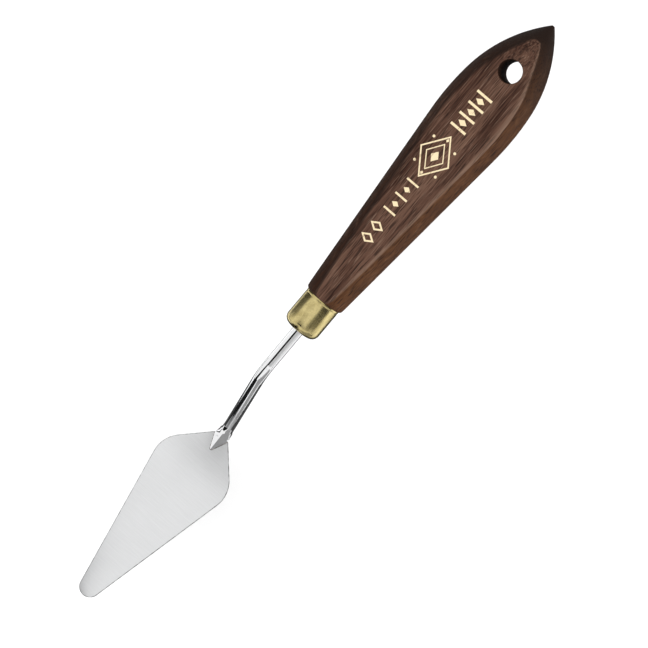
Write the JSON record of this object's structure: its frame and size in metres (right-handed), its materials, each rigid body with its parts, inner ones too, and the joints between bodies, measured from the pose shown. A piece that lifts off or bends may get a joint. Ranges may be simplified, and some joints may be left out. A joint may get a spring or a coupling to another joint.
{
  "type": "palette knife",
  "caption": "Artist's palette knife: stained wooden handle with a hanging hole, brass ferrule, cranked steel shank with a welded foot and a thin springy trowel-shaped blade.",
  "frame": {"origin": "centre of the bounding box in plan, at the level of the knife's lowest point, the blade's heel", "axes": "+X along the handle's axis from the butt to the blade, +Y across the handle, +Z out of the handle's upper flat face, away from the side the blade is dropped to, and along the hanging hole"},
  "size_m": [0.2146, 0.025, 0.0285],
  "materials": {
    "handle": "dark walnut stain under satin varnish",
    "ferrule": "polished, lightly dulled",
    "shank": "bright polished steel",
    "blade": "fine satin",
    "weld_seam": "dull, heat-tinted",
    "tang_adhesive": "cured resin"
  },
  "bodies": {
    "handle_body": {"handle": "handle", "ferrule": "ferrule", "shank": "shank", "weld_seam": "weld_seam", "tang_adhesive": "tang_adhesive"},
    "blade_body": {"blade": "blade"}
  },
  "joints": [
    {"name": "blade_flex", "type": "hinge", "parent": "handle_body", "child": "blade_body", "pos_m": [0.05491, 0, 0.00152], "axis": [0, -1, 0], "range_deg": [-25, 25], "stiffness_Nm_per_rad": 1.6, "deforming": ["blade"]}
  ]
}
